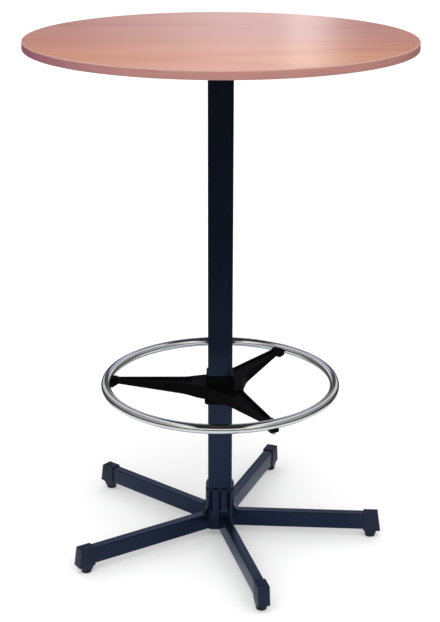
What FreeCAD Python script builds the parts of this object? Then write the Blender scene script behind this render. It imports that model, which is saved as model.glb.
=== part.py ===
import FreeCAD, Part
import math
import os

# A tall round pub table: laminate top, square column, five-arm base and an adjustable foot ring.
# Millimetres, +Z up. The origin is on the floor, under the middle of the column.

# ---- Driving dimensions -------------------------------------------------------------------------

# Table top
table_height = 1050.0
top_diameter = 750.0
core_thickness = 15.3
laminate_thickness = 0.7
edge_band_thickness = 2.0

# Steel plate under the top, its spigot in the column's head, and its wood screws
top_plate_side = 260.0
top_plate_thickness = 4.0
top_plate_corner = 18.0
spigot_wall = 3.0
spigot_length = 60.0
spigot_corner = 3.0
wood_screw_inset = 18.0
wood_screw_radius = 2.2
wood_screw_length = 16.0
wood_screw_head_across = 8.0
wood_screw_head_height = 3.0
wood_screw_hole_radius = 2.6

# Column: square tube
column_side = 50.0
column_wall = 2.0
column_corner = 4.0

# Hub sleeve that the column stands in, with upright flutes in its faces
sleeve_wall = 4.8
sleeve_corner = 14.0
sleeve_height = 94.0
sleeve_rim_height = 5.0
sleeve_rim_inset = 2.5
flutes_per_face = 3
flute_width = 5.0
flute_depth = 2.6
flute_pitch = 18.0
flute_run_out = 4.0
flute_foot_margin = 8.0

# Plate welded in the sleeve's foot, which the column stands on
hub_plate_thickness = 5.0
hub_plate_corner = 6.0

# Base arms: rectangular tube on edge
arm_count = 5
first_arm_angle = -3.5
arm_width = 20.0
arm_height = 35.0
arm_wall = 1.5
arm_corner = 2.0
arm_underside = 18.0
arm_root_length = 9.0
arm_root_height = 20.0
arm_beyond_glide = 10.0

# Moulded end caps
cap_wall = 2.0
cap_cover_length = 25.0
cap_end_thickness = 5.0
cap_end_lean = 6.0
cap_edge_chamfer = 1.2
cap_plug_length = 21.0
cap_boss_flare = 4.0
cap_boss_corner = 5.0

# Levelling glides
glide_radius_position = 321.0
pad_radius = 11.0
pad_flats = 12
pad_height = 7.5
pad_sole_chamfer = 2.2
pad_floor = 1.5
stud_radius = 4.0
stud_length = 32.0
stud_spare = 1.5

# Tie rod down the middle of the column
rod_radius = 5.0
rod_nut_across = 17.0
rod_nut_height = 8.0
rod_end_below_nut = 0.5
rod_end_below_plate_top = 1.0

# Foot ring
ring_height = 345.0
ring_outer_diameter = 490.0
ring_tube_radius = 9.5
ring_section_sides = 12

# Spider that carries the foot ring
spider_arm_count = 3
spider_first_angle = 176.0
spider_hub_side = 57.0
spider_hub_corner = 6.0
spider_hub_rise = 22.0
spider_hub_drop = 38.0
spider_hub_chamfer = 2.5
spider_flange_step = 3.5
spider_flange_height = 9.0
spider_arm_top = 1.5
spider_root_depth = 26.5
spider_tip_depth = 8.0
spider_tip_width = 14.0
spider_neck_width = 38.0
spider_neck_distance = 72.0
spider_crotch_distance = 44.0
spider_crotch_rounding = 10.0
spider_neck_rounding = 60.0
spider_rib_thickness = 4.0
spider_channel_depth = 4.0
spider_web_thickness = 3.5
spider_cross_rib_count = 3
spider_cross_rib_thickness = 3.0
spider_channel_margin = 14.0
spider_channel_rounding = 2.5
cradle_width = 16.0
cradle_floor = 7.5
cradle_lip_rise = 4.0
cradle_lip_length = 10.0
cradle_lip_slope = 4.0
cradle_chamfer = 3.0
cradle_root = 18.0
cradle_reach = 6.5

# Ring screws, from below through each cradle into the ring
ring_screw_radius = 2.0
ring_screw_head_across = 7.0
ring_screw_head_height = 3.5
ring_screw_grip = 6.0

# Clamp screw of the spider, in a boss on the hub's back face, and its nylon tip
clamp_screw_radius = 5.0
clamp_screw_length = 11.0
clamp_key_across = 5.0
clamp_key_depth = 5.0
clamp_tip_length = 2.5
clamp_boss_across = 18.0
clamp_boss_length = 8.0

# Clearances
tube_fit = 0.2
sliding_fit = 0.3
running_fit = 0.06
seat_gap = 0.05
hole_fit = 0.4
pad_gap = 0.5

# How far a cutter runs past the face it cuts, and how near two places count as the same
past = 1.0
same = 1e-6

# ---- Places worked out from them ----------------------------------------------------------------

top_radius = top_diameter / 2
core_radius = top_radius - edge_band_thickness
top_underside = table_height - laminate_thickness - core_thickness
core_top = top_underside + core_thickness
plate_underside = top_underside - top_plate_thickness

arm_top = arm_underside + arm_height
arm_tube_end = glide_radius_position + arm_beyond_glide
column_foot = arm_underside + hub_plate_thickness
column_head = plate_underside
column_bore = column_side - 2 * column_wall
sleeve_bore = column_side + 2 * tube_fit
sleeve_side = sleeve_bore + 2 * sleeve_wall
sleeve_top = arm_underside + sleeve_height

pad_top = pad_height
boss_bottom = pad_top + pad_gap
cap_bottom = arm_underside - cap_wall
cap_start = arm_tube_end - cap_cover_length
cap_tip = arm_tube_end + cap_end_thickness
plug_bottom = arm_underside + arm_wall + tube_fit
plug_top = arm_top - arm_wall - tube_fit
stud_bottom = pad_floor + seat_gap
stud_top = stud_bottom + stud_length

ring_radius = ring_outer_diameter / 2 - ring_tube_radius
spider_tip = ring_radius - ring_tube_radius
clamp_height = ring_height + (spider_arm_top + spider_hub_rise) / 2

up = FreeCAD.Vector(0, 0, 1)
along_x = FreeCAD.Vector(1, 0, 0)
along_y = FreeCAD.Vector(0, 1, 0)
origin = FreeCAD.Vector(0, 0, 0)


# ---- Helpers ------------------------------------------------------------------------------------

def turned(shape, degrees):
    """A copy of the shape turned about the table's upright axis."""
    copy = shape.copy()
    copy.rotate(origin, up, degrees)
    return copy


def edges_along(shape, direction):
    """The straight edges of a shape that run along a direction."""
    chosen = []
    for edge in shape.Edges:
        straight = isinstance(edge.Curve, Part.Line)
        if straight and edge.tangentAt(edge.FirstParameter).cross(direction).Length < same:
            chosen.append(edge)
    return chosen


def box(x_low, x_high, y_low, y_high, z_low, z_high):
    """A block between two corners."""
    corner = FreeCAD.Vector(x_low, y_low, z_low)
    return Part.makeBox(x_high - x_low, y_high - y_low, z_high - z_low, corner)


def upright_bar(side, corner, z_low, z_high):
    """A square bar on the table's axis, with rounded corners."""
    half = side / 2
    bar = box(-half, half, -half, half, z_low, z_high)
    return bar.makeFillet(corner, edges_along(bar, up))


def chamfered_bar(side, corner, z_low, z_high):
    """A square bar on the table's axis, with its corners cut off."""
    half = side / 2
    bar = box(-half, half, -half, half, z_low, z_high)
    return bar.makeChamfer(corner, edges_along(bar, up))


def level_bar(x_low, x_high, width, z_low, z_high, corner):
    """A rectangular bar along X, with its long edges rounded."""
    bar = box(x_low, x_high, -width / 2, width / 2, z_low, z_high)
    return bar.makeFillet(corner, edges_along(bar, along_x))


def rod(radius, z_low, z_high, x=0.0, y=0.0):
    """An upright cylinder."""
    return Part.makeCylinder(radius, z_high - z_low, FreeCAD.Vector(x, y, z_low))


def regular_prism(sides, across, z_low, z_high, x=0.0, y=0.0):
    """An upright prism with equal sides, by its size across flats. One flat faces +X."""
    corner_radius = across / 2 / math.cos(math.pi / sides)
    points = []
    for corner in range(sides + 1):
        angle = 2 * math.pi * (corner + 0.5) / sides
        dx = corner_radius * math.cos(angle)
        dy = corner_radius * math.sin(angle)
        points.append(FreeCAD.Vector(x + dx, y + dy, z_low))
    return Part.Face(Part.makePolygon(points)).extrude(up * (z_high - z_low))


def hexagon(across, z_low, z_high, x=0.0, y=0.0):
    """An upright hexagonal prism, by its size across flats."""
    return regular_prism(6, across, z_low, z_high, x, y)


def prism(points, direction):
    """A closed outline of points, extruded by a vector."""
    outline = Part.makePolygon(points + points[:1])
    return Part.Face(outline).extrude(direction)


def cut_all(shape, cutters):
    """The shape less every cutter."""
    for cutter in cutters:
        shape = shape.cut(cutter)
    return shape


def write(name, shape):
    """The STEP file of one node."""
    shape.exportStep("parts/" + name + ".step")


# ---- Table top ----------------------------------------------------------------------------------

def wood_screw_places():
    """Four places, near the top plate's corners."""
    reach = top_plate_side / 2 - wood_screw_inset
    return [(x, y) for x in (-reach, reach) for y in (-reach, reach)]


def wood_screw(x, y):
    """A hexagon-head wood screw from below."""
    head_top = plate_underside
    head = hexagon(wood_screw_head_across, head_top - wood_screw_head_height, head_top, x, y)
    shank = rod(wood_screw_radius, head_top, head_top + wood_screw_length, x, y)
    return head.fuse(shank).removeSplitter()


def pilot_holes(z_low, z_high):
    """The holes that the wood screws make in the top."""
    radius = wood_screw_radius + seat_gap
    return [rod(radius, z_low, z_high, x, y) for x, y in wood_screw_places()]


def make_top():
    """Chipboard core with its backing face, the laminate glued on it, and the band round the rim."""
    screw_reach = plate_underside + wood_screw_length + seat_gap
    core = rod(core_radius, top_underside, core_top)
    write("top_core", cut_all(core, pilot_holes(top_underside, screw_reach)))
    write("top_laminate", rod(core_radius, core_top, table_height))
    band = rod(top_radius, top_underside, table_height)
    write("edge_band", band.cut(rod(core_radius, top_underside, table_height)))


def make_top_plate():
    """Steel plate, the spigot welded under it, and the wood screws."""
    plate = chamfered_bar(top_plate_side, top_plate_corner, plate_underside, top_underside)
    holes = [rod(wood_screw_hole_radius, plate_underside, top_underside, x, y)
             for x, y in wood_screw_places()]
    holes.append(rod(rod_radius + hole_fit, plate_underside, top_underside))
    write("top_plate", cut_all(plate, holes))
    spigot_side = column_bore - 2 * tube_fit
    spigot_bottom = plate_underside - spigot_length
    outer = chamfered_bar(spigot_side, spigot_corner, spigot_bottom, plate_underside)
    inner_side = spigot_side - 2 * spigot_wall
    inner = box(-inner_side / 2, inner_side / 2, -inner_side / 2, inner_side / 2,
                spigot_bottom, plate_underside)
    write("top_spigot", outer.cut(inner))
    screws = [wood_screw(x, y) for x, y in wood_screw_places()]
    write("top_plate_screws", Part.makeCompound(screws))


# ---- Column, tie rod and base hub ---------------------------------------------------------------

def make_column():
    """Square tube from the hub plate to the top plate."""
    outer = upright_bar(column_side, column_corner, column_foot, column_head)
    inner_corner = column_corner - column_wall
    inner = upright_bar(column_bore, inner_corner, column_foot, column_head)
    write("column", outer.cut(inner))


def make_tie_rod():
    """Threaded rod, the nut under the hub plate and the weld nut under the top plate."""
    nut_bottom = arm_underside - rod_nut_height
    shaft = rod(rod_radius, nut_bottom - rod_end_below_nut, top_underside - rod_end_below_plate_top)
    write("tie_rod", shaft)
    nuts = []
    for bottom in (nut_bottom, plate_underside - rod_nut_height):
        top = bottom + rod_nut_height
        nut = hexagon(rod_nut_across, bottom, top)
        nuts.append(nut.cut(rod(rod_radius + seat_gap, bottom, top)))
    write("tie_rod_nuts", Part.makeCompound(nuts))


def outline_at(bar, level):
    """The outline of the bar's level face at this height."""
    face = next(face for face in bar.Faces
                if abs(face.BoundBox.ZMin - level) < same and face.BoundBox.ZLength < same)
    return face.OuterWire


def sleeve_body():
    """The sleeve's outer form, solid, its rim sloping in to the column."""
    shoulder = sleeve_top - sleeve_rim_height
    body = upright_bar(sleeve_side, sleeve_corner, arm_underside, shoulder)
    rim_side = sleeve_side - 2 * sleeve_rim_inset
    rim = upright_bar(rim_side, sleeve_corner - sleeve_rim_inset, sleeve_top, sleeve_top + past)
    outlines = [outline_at(body, shoulder), outline_at(rim, sleeve_top)]
    return body.fuse(Part.makeLoft(outlines, True, True)).removeSplitter()


def flute(offset):
    """An upright groove in the sleeve's +X face, open at its head, which runs out in a slope below."""
    face = sleeve_side / 2
    bottom = face - flute_depth
    low = arm_top + flute_foot_margin
    head = sleeve_top + past
    side = offset - flute_width / 2
    profile = [FreeCAD.Vector(bottom, side, low + flute_run_out),
               FreeCAD.Vector(bottom, side, head),
               FreeCAD.Vector(face + past, side, head),
               FreeCAD.Vector(face + past, side, low),
               FreeCAD.Vector(face, side, low)]
    return prism(profile, along_y * flute_width)


def make_hub():
    """Fluted sleeve and the plate welded in its foot."""
    middle = (flutes_per_face - 1) / 2
    bore = upright_bar(sleeve_bore, column_corner, arm_underside, sleeve_top)
    sleeve = sleeve_body().cut(bore)
    for face in range(4):
        grooves = [turned(flute((place - middle) * flute_pitch), 90 * face)
                   for place in range(flutes_per_face)]
        sleeve = cut_all(sleeve, grooves)
    write("hub_sleeve", sleeve)
    plate = upright_bar(sleeve_bore, hub_plate_corner, arm_underside, column_foot)
    write("hub_plate", plate.cut(rod(rod_radius + hole_fit, arm_underside, column_foot)))


# ---- Base arms, caps and glides -----------------------------------------------------------------

def arm_angle(number):
    return first_arm_angle + number * 360.0 / arm_count


def root_distance(degrees):
    """How far from the axis an arm at this angle meets the round-cornered sleeve."""
    angle = math.radians(degrees)
    across, along = sorted([abs(math.cos(angle)), abs(math.sin(angle))])
    flat_distance = sleeve_side / 2 / along
    corner_centre = sleeve_side / 2 - sleeve_corner
    if flat_distance * across <= corner_centre:
        return flat_distance
    reach = corner_centre * (along + across)
    return reach + math.sqrt(reach ** 2 - 2 * corner_centre ** 2 + sleeve_corner ** 2)


def arm_root(degrees):
    """The hollow-faced root that runs up from an arm's top to the sleeve."""
    root = root_distance(degrees)
    half = arm_width / 2 - arm_corner
    head = arm_top + arm_root_height
    radius = (arm_root_length ** 2 + arm_root_height ** 2) / (2 * arm_root_length)
    centre = FreeCAD.Vector(root + radius, -half, head)
    hollow = Part.makeCylinder(radius, 2 * half, centre, along_y)
    block = box(0, root + arm_root_length, -half, half, arm_top - arm_wall / 2, head)
    return block.cut(hollow)


def base_arm(degrees):
    """Rectangular tube, coped to the sleeve, with a notch under its end for the glide."""
    outer = level_bar(0, arm_tube_end, arm_width, arm_underside, arm_top, arm_corner)
    inner = box(-past, arm_tube_end + past, arm_wall - arm_width / 2, arm_width / 2 - arm_wall,
                arm_underside + arm_wall, arm_top - arm_wall)
    notch_half = stud_radius + hole_fit
    notch = box(glide_radius_position - notch_half, arm_tube_end + past, -notch_half, notch_half,
                arm_underside - past, arm_underside + arm_wall + past)
    arm = outer.fuse(arm_root(degrees)).cut(inner).cut(notch)
    arm = turned(arm, degrees).cut(upright_bar(sleeve_side, sleeve_corner, 0, sleeve_top))
    return max(arm.Solids, key=lambda solid: solid.Volume)


def cap_boss():
    """Block under the cap that flares from the glide's foot up to the shell."""
    foot_half = pad_radius
    head_half = pad_radius + cap_boss_flare
    half_width = arm_width / 2 + cap_wall - cap_edge_chamfer
    side = [FreeCAD.Vector(glide_radius_position - foot_half, -half_width, boss_bottom),
            FreeCAD.Vector(glide_radius_position + foot_half, -half_width, boss_bottom),
            FreeCAD.Vector(glide_radius_position + head_half, -half_width, cap_bottom),
            FreeCAD.Vector(glide_radius_position - head_half, -half_width, cap_bottom)]
    block = prism(side, along_y * (2 * half_width))
    corners = [edge for edge in block.Edges
               if edge.BoundBox.ZLength > same and edge.BoundBox.YLength < same]
    return block.makeChamfer(cap_boss_corner, corners)


def end_cap():
    """Moulded cap over an arm's end: shell, leaning end face, flared boss, threaded plug."""
    half = arm_width / 2 + cap_wall
    cap_top = arm_top + cap_wall
    side = [FreeCAD.Vector(cap_start, -half, cap_bottom),
            FreeCAD.Vector(cap_tip + cap_end_lean, -half, cap_bottom),
            FreeCAD.Vector(cap_tip, -half, cap_top),
            FreeCAD.Vector(cap_start, -half, cap_top)]
    shell = prism(side, along_y * (2 * half))
    outer_edges = [edge for edge in shell.Edges if edge.BoundBox.XMax > cap_start + seat_gap]
    shell = shell.makeChamfer(cap_edge_chamfer, outer_edges)
    pocket = box(cap_start - past, arm_tube_end + seat_gap,
                 -arm_width / 2 - seat_gap, arm_width / 2 + seat_gap,
                 arm_underside - seat_gap, arm_top + seat_gap)
    plug_half = arm_width / 2 - arm_wall - tube_fit
    plug = box(arm_tube_end - cap_plug_length, arm_tube_end + cap_end_thickness / 2,
               -plug_half, plug_half, plug_bottom, plug_top)
    clearance = hexagon(2 * (stud_radius + hole_fit), boss_bottom - past, arm_underside + past,
                        glide_radius_position)
    thread = rod(stud_radius + running_fit, plug_bottom - past, stud_top + stud_spare,
                 glide_radius_position)
    cap = shell.fuse(cap_boss()).cut(pocket).cut(clearance)
    return cap.fuse(plug.cut(thread)).removeSplitter()


def glide_pad():
    """Foot with grip flats round it and a chamfered sole, pressed on the stud's end."""
    points = []
    for flat in range(pad_flats + 1):
        angle = 2 * math.pi * flat / pad_flats
        points.append(FreeCAD.Vector(pad_radius * math.cos(angle), pad_radius * math.sin(angle), 0))
    body = Part.Face(Part.makePolygon(points)).extrude(up * pad_height)
    sole = [edge for edge in body.Edges if abs(edge.BoundBox.ZMax) < same]
    body = body.makeChamfer(pad_sole_chamfer, sole)
    pad = body.cut(rod(stud_radius + running_fit, pad_floor, pad_height))
    pad.translate(along_x * glide_radius_position)
    return pad


def glide_stud():
    """Threaded stud, whose lower end turns in the pad."""
    return rod(stud_radius, stud_bottom, stud_top, glide_radius_position)


def make_base_arms():
    """Five arms, each with its cap and glide."""
    cap = end_cap()
    pad = glide_pad()
    stud = glide_stud()
    for number in range(arm_count):
        angle = arm_angle(number)
        label = str(number + 1)
        write("base_arm_" + label, base_arm(angle))
        write("arm_cap_" + label, turned(cap, angle))
        write("glide_pad_" + label, turned(pad, angle))
        write("glide_stud_" + label, turned(stud, angle))


# ---- Foot ring and its spider -------------------------------------------------------------------

def spider_angle(number):
    return spider_first_angle - number * 360.0 / spider_arm_count


def ring_body(tube_radius):
    """The ring's bar: a many-sided section, as good as round, turned about the upright axis."""
    points = []
    for corner in range(ring_section_sides + 1):
        angle = 2 * math.pi * (corner + 0.5) / ring_section_sides
        reach = tube_radius / math.cos(math.pi / ring_section_sides)
        points.append(FreeCAD.Vector(ring_radius + reach * math.cos(angle), 0,
                                     ring_height + reach * math.sin(angle)))
    return Part.Face(Part.makePolygon(points)).revolve(origin, up, 360)


def make_foot_ring():
    """Closed ring with three blind screw holes underneath."""
    ring = ring_body(ring_tube_radius)
    hole = rod(ring_screw_radius + seat_gap, ring_height - ring_tube_radius - past,
               ring_height - ring_tube_radius + ring_screw_grip + seat_gap, ring_radius)
    holes = [turned(hole, spider_angle(number)) for number in range(spider_arm_count)]
    write("foot_ring", cut_all(ring, holes))


def spider_half_width(distance):
    """Half of a spider arm's width at a distance from the axis, outside the neck."""
    share = (distance - spider_neck_distance) / (spider_tip - spider_neck_distance)
    return (spider_neck_width + share * (spider_tip_width - spider_neck_width)) / 2


def polar(distance, degrees, offset, height):
    """A point beside a ray from the axis: along the ray, then square to it."""
    angle = math.radians(degrees)
    x = distance * math.cos(angle) - offset * math.sin(angle)
    y = distance * math.sin(angle) + offset * math.cos(angle)
    return FreeCAD.Vector(x, y, height)


def upright_edges_near(shape, distance):
    """The upright edges of a shape within a tenth of a distance from the axis."""
    chosen = []
    for edge in edges_along(shape, up):
        found = math.hypot(edge.CenterOfMass.x, edge.CenterOfMass.y)
        if abs(found - distance) < distance / 10:
            chosen.append(edge)
    return chosen


def spider_star(z_low, z_high):
    """The three arms in plan, flaring towards the hub, as one upright prism."""
    half_tip = spider_tip_width / 2
    half_neck = spider_neck_width / 2
    half_step = 180.0 / spider_arm_count
    outline = []
    for number in range(spider_arm_count):
        angle = spider_angle(number)
        outline.append(polar(spider_crotch_distance, angle + half_step, 0, z_low))
        outline.append(polar(spider_neck_distance, angle, half_neck, z_low))
        outline.append(polar(spider_tip, angle, half_tip, z_low))
        outline.append(polar(spider_tip, angle, -half_tip, z_low))
        outline.append(polar(spider_neck_distance, angle, -half_neck, z_low))
    star = prism(outline, up * (z_high - z_low))
    star = star.makeFillet(spider_neck_rounding, upright_edges_near(star, spider_neck_distance))
    return star.makeFillet(spider_crotch_rounding, upright_edges_near(star, spider_crotch_distance))


def spider_taper():
    """What is cut from under one arm along +X, so that it grows thinner to its tip."""
    root_bottom = ring_height + spider_arm_top - spider_root_depth
    tip_bottom = ring_height + spider_arm_top - spider_tip_depth
    low = root_bottom - past
    side = -spider_neck_width
    points = [FreeCAD.Vector(spider_crotch_distance, side, low),
              FreeCAD.Vector(spider_tip + past, side, low),
              FreeCAD.Vector(spider_tip + past, side, tip_bottom),
              FreeCAD.Vector(spider_crotch_distance, side, root_bottom)]
    return prism(points, along_y * (2 * spider_neck_width))


def arm_pocket(near, far, margin, z_low, z_high):
    """A tapered pocket along one arm, a margin inside its sides."""
    near_half = spider_half_width(near) - margin
    far_half = spider_half_width(far) - margin
    points = [FreeCAD.Vector(near, -near_half, z_low),
              FreeCAD.Vector(far, -far_half, z_low),
              FreeCAD.Vector(far, far_half, z_low),
              FreeCAD.Vector(near, near_half, z_low)]
    return prism(points, up * (z_high - z_low))


def spider_pockets():
    """The channel along an arm's top, and the ribbed hollow under it."""
    arm_top_height = ring_height + spider_arm_top
    near = spider_neck_distance - spider_channel_margin
    far = spider_tip - cradle_root
    channel_floor = arm_top_height - spider_channel_depth
    channel = arm_pocket(near, far, spider_rib_thickness, channel_floor, arm_top_height + past)
    channel = channel.makeFillet(spider_channel_rounding, edges_along(channel, up))
    hollow_top = channel_floor - spider_web_thickness
    hollow_bottom = arm_top_height - spider_root_depth - past
    cells = spider_cross_rib_count + 1
    step = (far - near) / cells
    pockets = [channel]
    for cell in range(cells):
        start = near + cell * step
        end = start + step - spider_cross_rib_thickness
        pockets.append(arm_pocket(start, end, spider_rib_thickness, hollow_bottom, hollow_top))
    return pockets


def cradle():
    """Block at an arm's tip that holds the ring's tube from inside and below."""
    half = cradle_width / 2
    base = ring_height - ring_tube_radius
    lip = ring_height + cradle_lip_rise
    floor = base - cradle_floor
    outer = ring_radius + cradle_reach
    arm_top_height = ring_height + spider_arm_top
    lip_start = spider_tip - cradle_lip_length
    side = [FreeCAD.Vector(spider_tip - cradle_root, -half, arm_top_height - spider_tip_depth),
            FreeCAD.Vector(spider_tip - cradle_chamfer, -half, floor),
            FreeCAD.Vector(outer - cradle_chamfer, -half, floor),
            FreeCAD.Vector(outer, -half, floor + cradle_chamfer),
            FreeCAD.Vector(outer, -half, base + seat_gap),
            FreeCAD.Vector(spider_tip + seat_gap, -half, lip),
            FreeCAD.Vector(lip_start, -half, lip),
            FreeCAD.Vector(lip_start - cradle_lip_slope, -half, arm_top_height)]
    return prism(side, along_y * cradle_width)


def ring_screw():
    """Hexagon-head screw, from under a cradle into the ring."""
    base = ring_height - ring_tube_radius
    floor = base - cradle_floor
    head = hexagon(ring_screw_head_across, floor - ring_screw_head_height, floor, ring_radius)
    shank = rod(ring_screw_radius, floor, base + ring_screw_grip, ring_radius)
    return head.fuse(shank).removeSplitter()


def spider_hub():
    """Square hub with a chamfered top, a flange round its foot and a boss for the clamp screw."""
    top = ring_height + spider_hub_rise
    bottom = ring_height - spider_hub_drop
    body = upright_bar(spider_hub_side, spider_hub_corner, bottom, top)
    rim = [edge for edge in body.Edges if abs(edge.BoundBox.ZMin - top) < 1e-6]
    body = body.makeChamfer(spider_hub_chamfer, rim)
    flange_side = spider_hub_side + 2 * spider_flange_step
    flange = upright_bar(flange_side, spider_hub_corner + spider_flange_step,
                         bottom, bottom + spider_flange_height)
    face = spider_hub_side / 2
    boss = hexagon(clamp_boss_across, 0, clamp_boss_length + past)
    boss.rotate(origin, along_x, -90)
    boss.translate(FreeCAD.Vector(0, face - past, clamp_height))
    return body.fuse([flange, boss])


def make_spider():
    """Hub, three arms with their pockets, and the cradles, as one moulding."""
    arms_bottom = ring_height + spider_arm_top - spider_root_depth
    star = spider_star(arms_bottom, ring_height + spider_arm_top)
    cradles = []
    for number in range(spider_arm_count):
        angle = spider_angle(number)
        star = star.cut(turned(spider_taper(), angle))
        cradles.append(turned(cradle(), angle))
    star = star.fuse(cradles)
    for number in range(spider_arm_count):
        angle = spider_angle(number)
        star = cut_all(star, [turned(pocket, angle) for pocket in spider_pockets()])
    spider = star.fuse(spider_hub()).removeSplitter()
    spider = spider.cut(ring_body(ring_tube_radius + seat_gap))
    floor = ring_height - ring_tube_radius - cradle_floor
    shank_room = rod(ring_screw_radius + seat_gap, floor - past, ring_height, ring_radius)
    for number in range(spider_arm_count):
        spider = spider.cut(turned(shank_room, spider_angle(number)))
    half_hole = column_side / 2 + sliding_fit
    hole = box(-half_hole, half_hole, -half_hole, half_hole,
               ring_height - spider_hub_drop - past, ring_height + spider_hub_rise + past)
    spider = spider.cut(hole)
    face = column_side / 2
    bore_length = spider_hub_side / 2 + clamp_boss_length - face + past
    bore = Part.makeCylinder(clamp_screw_radius + running_fit, bore_length,
                             FreeCAD.Vector(0, face, clamp_height), along_y)
    write("ring_spider", spider.cut(bore))
    screws = [turned(ring_screw(), spider_angle(number)) for number in range(spider_arm_count)]
    write("ring_screws", Part.makeCompound(screws))


def make_clamp():
    """Socket screw in the hub's boss, and the nylon tip it presses on the column."""
    tip_start = column_side / 2 + seat_gap
    tip = Part.makeCylinder(clamp_screw_radius, clamp_tip_length,
                            FreeCAD.Vector(0, tip_start, clamp_height), along_y)
    write("clamp_tip", tip)
    screw_start = tip_start + clamp_tip_length + seat_gap
    screw = Part.makeCylinder(clamp_screw_radius, clamp_screw_length,
                              FreeCAD.Vector(0, screw_start, clamp_height), along_y)
    socket = hexagon(clamp_key_across, 0, clamp_key_depth)
    socket.rotate(origin, along_x, -90)
    key_start = screw_start + clamp_screw_length - clamp_key_depth
    socket.translate(FreeCAD.Vector(0, key_start, clamp_height))
    write("clamp_screw", screw.cut(socket))


# ---- The whole table ----------------------------------------------------------------------------

os.makedirs("parts", exist_ok=True)
make_top()
make_top_plate()
make_column()
make_tie_rod()
make_hub()
make_base_arms()
make_foot_ring()
make_spider()
make_clamp()
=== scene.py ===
import math

import bpy
from mathutils import Matrix, Vector


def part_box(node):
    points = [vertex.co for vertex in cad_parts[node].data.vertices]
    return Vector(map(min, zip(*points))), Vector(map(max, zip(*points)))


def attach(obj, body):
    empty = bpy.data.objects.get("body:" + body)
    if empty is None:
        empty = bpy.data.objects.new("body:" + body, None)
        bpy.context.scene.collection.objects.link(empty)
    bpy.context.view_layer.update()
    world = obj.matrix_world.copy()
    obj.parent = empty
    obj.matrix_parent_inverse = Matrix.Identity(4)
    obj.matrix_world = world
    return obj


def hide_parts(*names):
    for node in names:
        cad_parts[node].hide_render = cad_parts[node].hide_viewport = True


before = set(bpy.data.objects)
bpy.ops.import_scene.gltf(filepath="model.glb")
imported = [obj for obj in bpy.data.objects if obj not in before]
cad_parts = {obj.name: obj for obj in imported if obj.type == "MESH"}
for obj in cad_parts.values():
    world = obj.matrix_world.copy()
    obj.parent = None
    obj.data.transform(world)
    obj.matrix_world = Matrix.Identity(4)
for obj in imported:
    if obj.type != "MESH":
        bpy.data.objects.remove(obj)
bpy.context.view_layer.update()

# A tall round pub table. Metres, +Z up, with the origin on the floor under the column.

# ---- Sizes that the new pieces are made to ------------------------------------------------------

top_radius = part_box("edge_band")[1].x
top_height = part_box("edge_band")[1].z
edging_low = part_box("edge_band")[0].z
edging_depth = 0.002
edging_arris = 0.0017
edging_seam = 0.0004
edging_seam_turn = 97.0
# The top of the arris is coloured lighter: partly plastic bared by scraping, partly a painted highlight.
scraped_highlight_start = top_height - 0.0024
scraped_highlight_full = top_height - 0.0008

column_low, column_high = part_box("column")
column_corner = 0.004
column_wall = 0.002

ring_low, ring_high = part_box("foot_ring")
ring_bar = (ring_high.z - ring_low.z) / 2
ring_middle = ring_high.x - ring_bar
ring_level = (ring_high.z + ring_low.z) / 2
ring_weld_turn = 128.0
ring_weld_bead = 0.00012

sleeve_half = 0.030
sleeve_corner = 0.014
sleeve_low = 0.018
sleeve_shoulder = 0.107
sleeve_edge = 0.0006
rim_height = 0.005
rim_inset = 0.0025
bore_half = 0.0252
bore_corner = 0.004

flute_half = 0.0025
flute_pitch = 0.018
flute_floor = 0.0274
flute_low = 0.061
flute_run_out = 0.004
flute_lean = 0.0014
flute_cut = 0.004
flute_head = sleeve_shoulder + rim_height + 0.001

arm_count = 5
first_arm = -3.5
arm_width = 0.020
arm_low = 0.018
arm_high = 0.053
arm_start = 0.012
arm_end = 0.331
arm_wall = 0.0015
arm_corner = 0.002
root_length = 0.009
root_height = 0.020
root_slice_end = 0.060
root_steps = 14

weld_radius = 0.0022
weld_margin = 0.0015
weld_ripples = 12
weld_waist = 0.86

cap_start = 0.306
cap_end = 0.336
cap_lean = 0.006
cap_half = 0.012
cap_low = 0.016
cap_high = 0.055
cap_edge = 0.0021
cap_wall = 0.002
cap_end_wall = 0.005

glide_reach = 0.321
slot_forward = 0.006
slot_length = 0.021
slot_width = 0.0088
slot_depth = 0.006

foot_half_length = 0.0112
foot_flare = 0.003
foot_shoulder = 0.0022
foot_low = 0.008
foot_corner = 0.0045
foot_side_draft = 0.955
shoulder_draft = 0.885
shank_draft = 0.89

pad_radius = 0.011
pad_height = 0.0075
pad_flats = 12
pad_corner = 0.0010
pad_sole = 0.0022
pad_rim = 0.0006
pad_shelf = 0.0058
stud_radius = 0.004
stud_root = 0.00335
stud_pitch = 0.00125
stud_crest = 0.2
stud_low = 0.00155
stud_high = 0.03355

# A cutter reaches this far past what it cuts, and a place is picked to within a hair.
past = 0.01
hair = 0.0001
same_point = 0.000002

whole_turn = 2 * math.pi
flat_across = 0.99
sharp_turn = 32.0


# ---- Hand tools ---------------------------------------------------------------------------------

def put_down():
    """Leaves edit mode and lets go of everything."""
    if bpy.context.object is not None and bpy.context.object.mode != "OBJECT":
        bpy.ops.object.mode_set(mode="OBJECT")
    bpy.ops.object.select_all(action="DESELECT")


def pick_up(piece):
    """Makes one piece the only one in hand."""
    put_down()
    piece.select_set(True)
    bpy.context.view_layer.objects.active = piece


def named(name):
    """Names the primitive that has just been added."""
    piece = bpy.context.object
    piece.name = name
    piece.data.name = name
    return piece


def settle(piece):
    """Puts the piece's place, turn and size into its mesh."""
    pick_up(piece)
    bpy.ops.object.transform_apply(location=True, rotation=True, scale=True)


def block(name, middle, size):
    """A box of this size about this middle."""
    put_down()
    bpy.ops.mesh.primitive_cube_add(size=1.0, location=middle)
    piece = named(name)
    piece.scale = size
    settle(piece)
    return piece


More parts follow.
